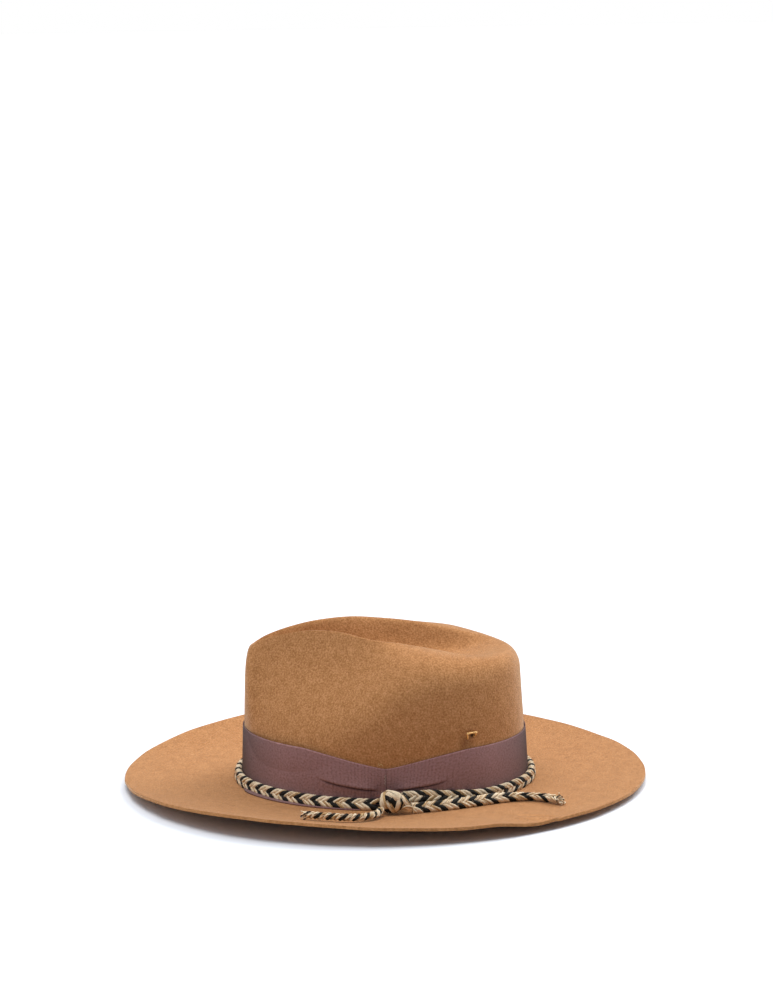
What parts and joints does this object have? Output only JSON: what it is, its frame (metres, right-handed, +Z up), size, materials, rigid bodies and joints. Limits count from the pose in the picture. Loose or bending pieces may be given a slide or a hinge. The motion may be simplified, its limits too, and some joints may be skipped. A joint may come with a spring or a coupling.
{
  "type": "brimmed felt hat",
  "caption": "Wide-brimmed tan felt hat with a pinched teardrop crown, a mauve grosgrain ribbon and a knotted two-colour jute braid round its foot.",
  "frame": {"origin": "on the surface that the hat rests on, under the middle of the brim", "axes": "+Z up through the crown, -Y to the front of the hat, +X to the wearer's left"},
  "size_m": [0.344, 0.359, 0.1084],
  "materials": {
    "felt": "brushed wool felt with a soft nap",
    "ribbon": "ribbed grosgrain with a low sheen",
    "jute": "natural and black jute strands",
    "brass": "worn polished wire"
  },
  "bodies": {
    "root": {"felt_body": "felt", "ribbon_band": "ribbon", "braid_loop": "jute", "braid_knot": "jute", "tail_flat": "jute", "tail_thin": "jute", "brass_staple": "brass"}
  },
  "joints": []
}
